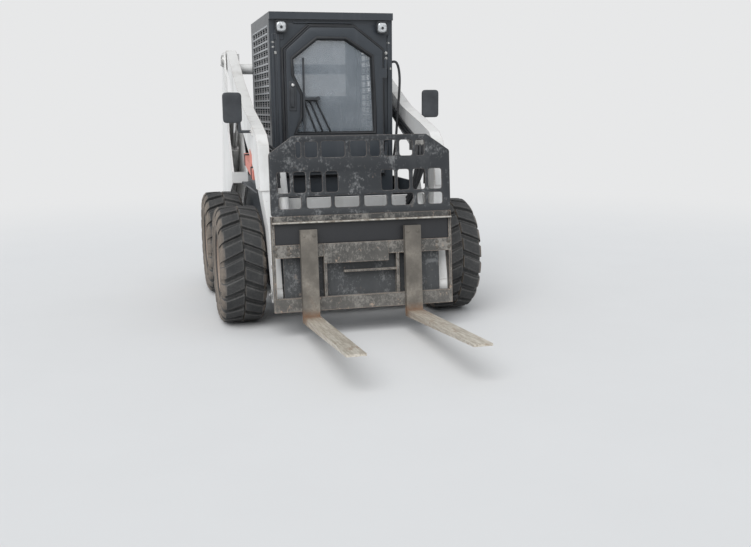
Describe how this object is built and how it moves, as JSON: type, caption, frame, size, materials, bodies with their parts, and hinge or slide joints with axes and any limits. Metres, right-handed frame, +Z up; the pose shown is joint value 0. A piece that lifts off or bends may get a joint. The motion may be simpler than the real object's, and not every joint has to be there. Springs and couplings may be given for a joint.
{
  "type": "skid steer loader with a pallet fork frame",
  "caption": "Compact wheeled skid steer loader with lift arms, an enclosed cab with a front door, and a pallet fork frame with a tall backrest.",
  "frame": {"origin": "middle of the machine's outline on the ground, forks included", "axes": "+Z up; -Y the way the machine faces; +X the machine's own left side"},
  "size_m": [1.676, 3.6921, 1.955],
  "materials": {
    "paint_dark": "satin",
    "paint_white": "satin",
    "paint_faded_red": "matte",
    "rim_paint": "matte",
    "tyre": "matte",
    "rod_chrome": "polished",
    "frame_worn": "matte",
    "fork_steel": "matte",
    "glass": "polished",
    "black_plastic": "matte",
    "engine_iron": "matte",
    "coupler_steel": "brushed",
    "bar_paint": "satin",
    "seat_vinyl": "satin",
    "lamp_lens": "glossy"
  },
  "bodies": {
    "chassis": {"main_frame": "paint_dark", "cab_frame": "paint_dark", "cab_roof": "paint_dark", "side_grille_left": "paint_dark", "side_grille_right": "paint_dark", "rear_cover": "paint_dark", "rear_sides": "paint_dark", "tailgate_hinges": "paint_dark", "door_hinges": "paint_dark", "axle_tubes": "paint_dark", "seat_pan": "paint_dark", "upright_left": "paint_white", "upright_right": "paint_white", "rear_window": "glass", "levers": "black_plastic", "engine": "engine_iron", "seat_bar": "bar_paint", "seat_cushion": "seat_vinyl", "seat_backrest": "seat_vinyl", "head_lamps": "lamp_lens", "tail_lamps": "lamp_lens"},
    "door": {"door_frame": "paint_dark", "door_glass": "glass", "wiper": "black_plastic"},
    "tailgate": {"tailgate": "paint_dark"},
    "carriage": {"coupler": "paint_dark", "fork_frame": "frame_worn", "backrest": "frame_worn", "fork_right": "fork_steel", "fork_left": "fork_steel"},
    "lift_arm": {"arm_left": "paint_white", "arm_right": "paint_white", "cross_tube": "paint_white", "cross_beam": "paint_white", "arm_support": "paint_faded_red", "mirror_right": "black_plastic", "mirror_left": "black_plastic", "hose_couplers": "coupler_steel"},
    "lift_barrels": {"lift_barrels": "paint_white"},
    "tilt_barrels": {"tilt_barrels": "paint_white"},
    "wheel_front_right": {"rim_front_right": "rim_paint", "tyre_front_right": "tyre"},
    "wheel_front_left": {"rim_front_left": "rim_paint", "tyre_front_left": "tyre"},
    "wheel_rear_right": {"rim_rear_right": "rim_paint", "tyre_rear_right": "tyre"},
    "wheel_rear_left": {"rim_rear_left": "rim_paint", "tyre_rear_left": "tyre"},
    "lift_rods": {"lift_rods": "rod_chrome"},
    "tilt_rods": {"tilt_rods": "rod_chrome"}
  },
  "joints": [
    {"name": "spin_front_right", "type": "hinge", "parent": "chassis", "child": "wheel_front_right", "pos_m": [-0.698, -0.114, 0.37], "axis": [1, 0, 0], "continuous": true},
    {"name": "spin_front_left", "type": "hinge", "parent": "chassis", "child": "wheel_front_left", "pos_m": [0.698, -0.114, 0.37], "axis": [1, 0, 0], "continuous": true},
    {"name": "spin_rear_right", "type": "hinge", "parent": "chassis", "child": "wheel_rear_right", "pos_m": [-0.698, 0.909, 0.37], "axis": [1, 0, 0], "continuous": true},
    {"name": "spin_rear_left", "type": "hinge", "parent": "chassis", "child": "wheel_rear_left", "pos_m": [0.698, 0.909, 0.37], "axis": [1, 0, 0], "continuous": true},
    {"name": "lift", "type": "hinge", "parent": "chassis", "child": "lift_arm", "pos_m": [0, 1.286, 1.7], "axis": [-1, 0, 0], "range_deg": [0, 72]},
    {"name": "tilt", "type": "hinge", "parent": "lift_arm", "child": "carriage", "pos_m": [0, -0.564, 0.25], "axis": [1, 0, 0], "range_deg": [-12, 117]},
    {"name": "door", "type": "hinge", "parent": "chassis", "child": "door", "pos_m": [0.356, 0.13, 1.4], "axis": [0, 0, 1], "range_deg": [0, 90]},
    {"name": "tailgate", "type": "hinge", "parent": "chassis", "child": "tailgate", "pos_m": [0.455, 1.836, 0.85], "axis": [0, 0, -1], "range_deg": [0, 100]},
    {"name": "lift_swing", "type": "hinge", "parent": "chassis", "child": "lift_barrels", "pos_m": [0, 1.686, 0.61], "axis": [-1, 0, 0], "range_deg": [0, 13.19]},
    {"name": "lift_stroke", "type": "slide", "parent": "lift_barrels", "child": "lift_rods", "axis": [0, -0.7071, 0.7071], "range_m": [-0.0001, 0.49079]},
    {"name": "tilt_swing", "type": "hinge", "parent": "lift_arm", "child": "tilt_barrels", "pos_m": [0, -0.254, 1], "axis": [-1, 0, 0], "range_deg": [-0.74, 7.22]},
    {"name": "tilt_stroke", "type": "slide", "parent": "tilt_barrels", "child": "tilt_rods", "axis": [0, -0.4324, -0.9017], "range_m": [-0.03589, 0.34904]}
  ],
  "couplings": [
    {"joint": "lift_swing", "follows": "lift", "ratio": 0.18324},
    {"joint": "lift_stroke", "follows": "lift", "m_per_rad": 0.39048},
    {"joint": "tilt_swing", "follows": "tilt", "ratio": 0.0617},
    {"joint": "tilt_stroke", "follows": "tilt", "m_per_rad": 0.17088}
  ]
}
